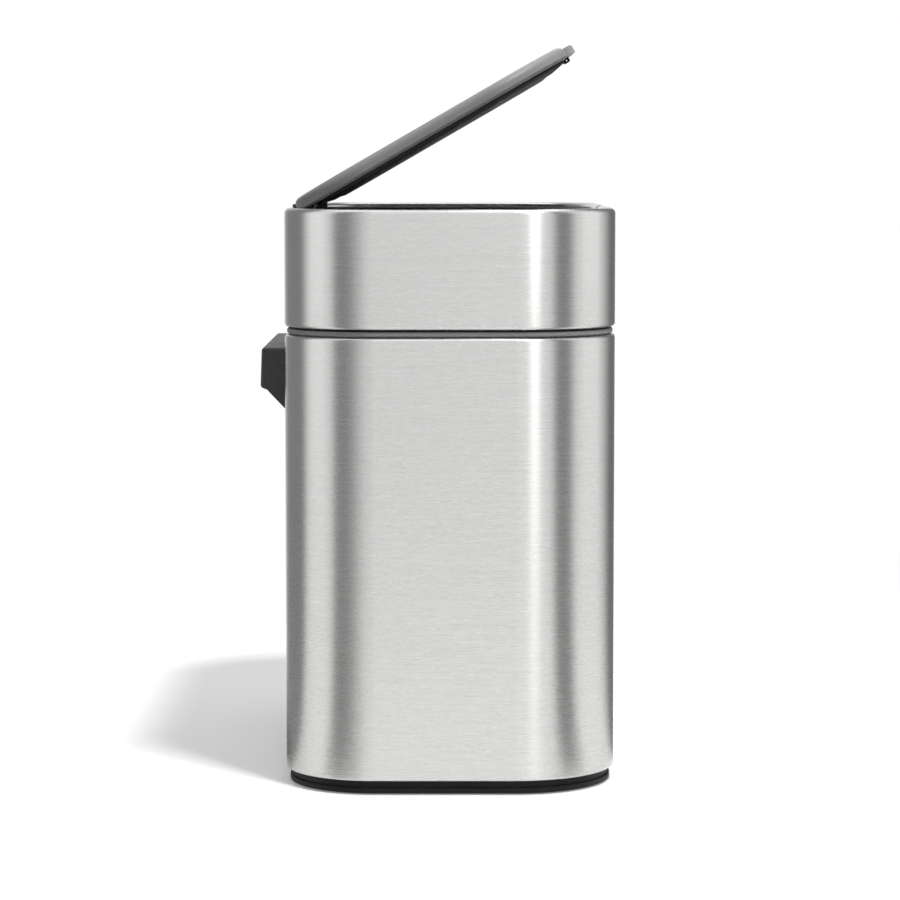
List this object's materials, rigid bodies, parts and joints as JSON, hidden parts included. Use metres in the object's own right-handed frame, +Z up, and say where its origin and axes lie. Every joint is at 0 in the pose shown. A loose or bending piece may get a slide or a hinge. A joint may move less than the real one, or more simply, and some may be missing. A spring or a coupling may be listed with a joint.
{
  "type": "push top countertop bin",
  "caption": "Countertop waste bin with a steel wrap, a lift-off collar, a push-to-open hinged lid, a lift-out bucket and a docking hook at the rear.",
  "frame": {"origin": "centre of the base outline, on the surface that the bin stands on", "axes": "+Z up, -Y to the front where the lid is pushed, +Y to the hinge and docking hook, +X to the left as seen from the front"},
  "size_m": [0.24, 0.1519, 0.3143],
  "materials": {
    "brushed_steel": "satin, brushed round the body",
    "plain_steel": "zinc plated",
    "black_plastic": "fine moulded texture",
    "charcoal_plastic": "fine moulded texture",
    "grey_plastic": "satin moulded",
    "rubber": "matt"
  },
  "bodies": {
    "body": {"body_shell": "brushed_steel", "floor_pan": "plain_steel", "base_plinth": "black_plastic", "foot_ring": "rubber", "base_screws": "plain_steel", "trim_ring": "grey_plastic", "docking_hook": "charcoal_plastic", "hook_plate": "plain_steel", "hook_screws": "plain_steel"},
    "collar": {"collar_shell": "brushed_steel", "collar_frame": "black_plastic", "hinge_bracket": "charcoal_plastic", "hinge_pin": "plain_steel", "hinge_springs": "plain_steel", "hinge_screws": "plain_steel", "latch_housing": "charcoal_plastic", "latch_spring": "plain_steel"},
    "latch": {"latch_plunger": "black_plastic"},
    "lid": {"lid_cover": "grey_plastic", "lid_inner_panel": "black_plastic", "lid_seal": "rubber", "push_tab": "grey_plastic", "latch_striker": "black_plastic", "lid_screws": "plain_steel"},
    "bucket": {"inner_bucket": "charcoal_plastic"},
    "handle": {"bucket_handle": "plain_steel"}
  },
  "joints": [
    {"name": "collar_lift", "type": "slide", "parent": "body", "child": "collar", "axis": [0, 0, 1], "range_m": [0, 0.26]},
    {"name": "lid_hinge", "type": "hinge", "parent": "collar", "child": "lid", "pos_m": [0, 0.0606, 0.2464], "axis": [-1, 0, 0], "range_deg": [-30, 55], "stiffness_Nm_per_rad": 0.25, "springref_deg": 11.92},
    {"name": "latch_press", "type": "slide", "parent": "collar", "child": "latch", "axis": [0, 0, -1], "range_m": [0, 0.002], "stiffness_N_per_m": 100, "springref_m": -0.002, "deforming": ["latch_spring"]},
    {"name": "bucket_lift", "type": "slide", "parent": "body", "child": "bucket", "axis": [0, 0, 1], "range_m": [0, 0.195]},
    {"name": "handle_swing", "type": "hinge", "parent": "bucket", "child": "handle", "pos_m": [0, 0, 0.176], "axis": [1, 0, 0], "range_deg": [0, 90]}
  ],
  "couplings": [
    {"joint": "bucket_lift", "follows": "collar_lift", "ratio": 0.75}
  ]
}
